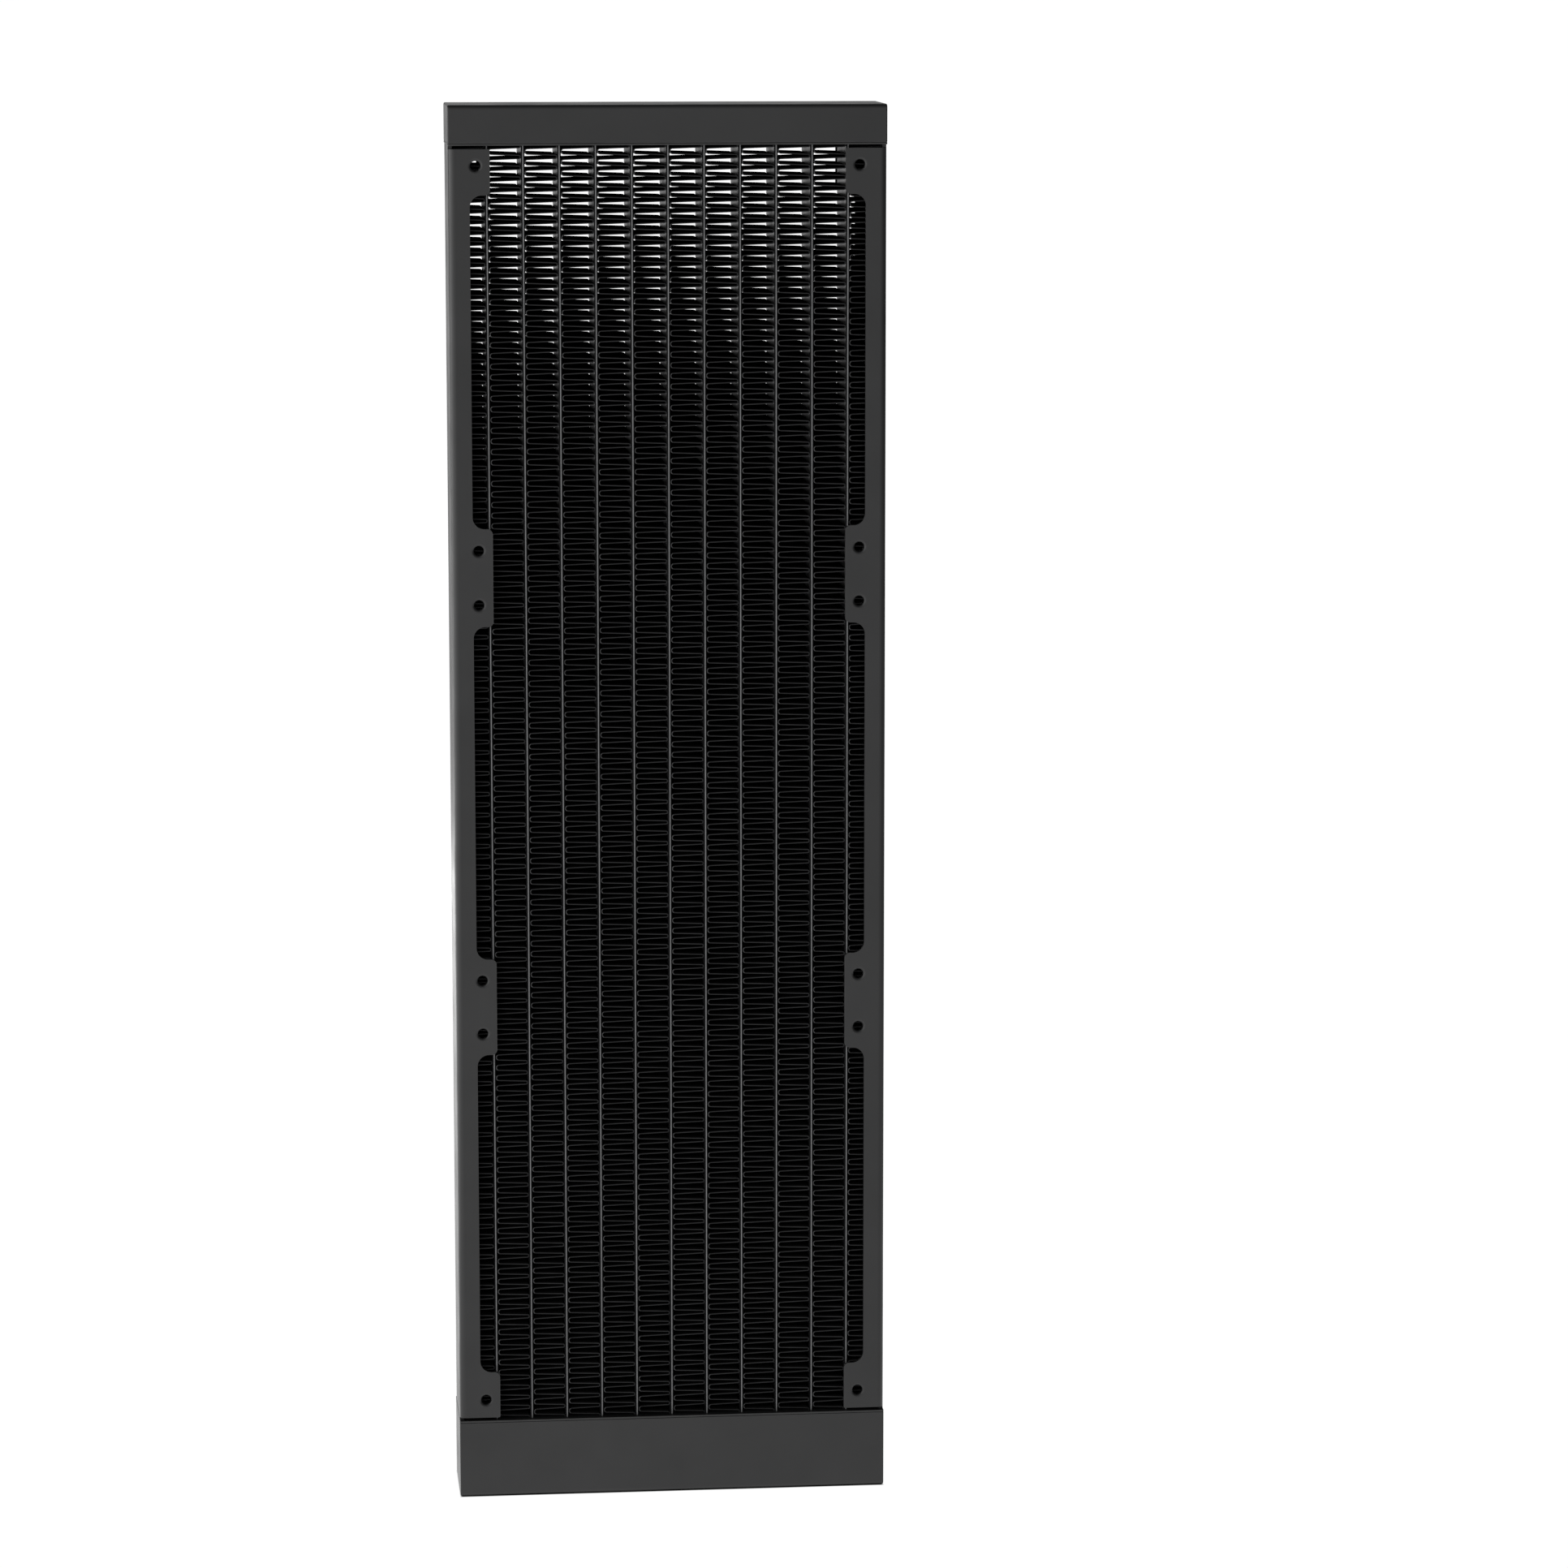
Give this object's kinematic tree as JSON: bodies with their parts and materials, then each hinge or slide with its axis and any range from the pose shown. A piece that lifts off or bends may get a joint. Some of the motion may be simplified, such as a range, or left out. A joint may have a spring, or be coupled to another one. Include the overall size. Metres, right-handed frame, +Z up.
{
  "type": "liquid cooling radiator",
  "caption": "Slim black heat exchanger panel: folded fins and flat tubes between two end tanks, held by side frames with fan screw tabs, with hose stubs on one tank.",
  "frame": {"origin": "middle of the bottom tank's base face", "axes": "+Z up the long side from the ported tank, X across the width, +Y towards the face with the hose ports"},
  "size_m": [0.12, 0.037, 0.3894],
  "materials": {
    "tank_paint": "satin black powder coat",
    "frame_paint": "satin black powder coat",
    "header_paint": "satin black paint",
    "tube_paint": "thin satin black paint",
    "fin_paint": "thin satin black paint",
    "port_paint": "satin black paint outside, bare in the bore",
    "divider_metal": "bare soldered sheet"
  },
  "bodies": {
    "root": {"top_tank": "tank_paint", "bottom_tank": "tank_paint", "top_header_plate": "header_paint", "bottom_header_plate": "header_paint", "tank_divider": "divider_metal", "left_side_frame": "frame_paint", "right_side_frame": "frame_paint", "port_left": "port_paint", "port_right": "port_paint", "tube_01": "tube_paint", "tube_02": "tube_paint", "tube_03": "tube_paint", "tube_04": "tube_paint", "tube_05": "tube_paint", "tube_06": "tube_paint", "tube_07": "tube_paint", "tube_08": "tube_paint", "tube_09": "tube_paint", "tube_10": "tube_paint", "tube_11": "tube_paint", "fin_01": "fin_paint", "fin_02": "fin_paint", "fin_03": "fin_paint", "fin_04": "fin_paint", "fin_05": "fin_paint", "fin_06": "fin_paint", "fin_07": "fin_paint", "fin_08": "fin_paint", "fin_09": "fin_paint", "fin_10": "fin_paint", "fin_11": "fin_paint", "fin_12": "fin_paint"}
  },
  "joints": []
}
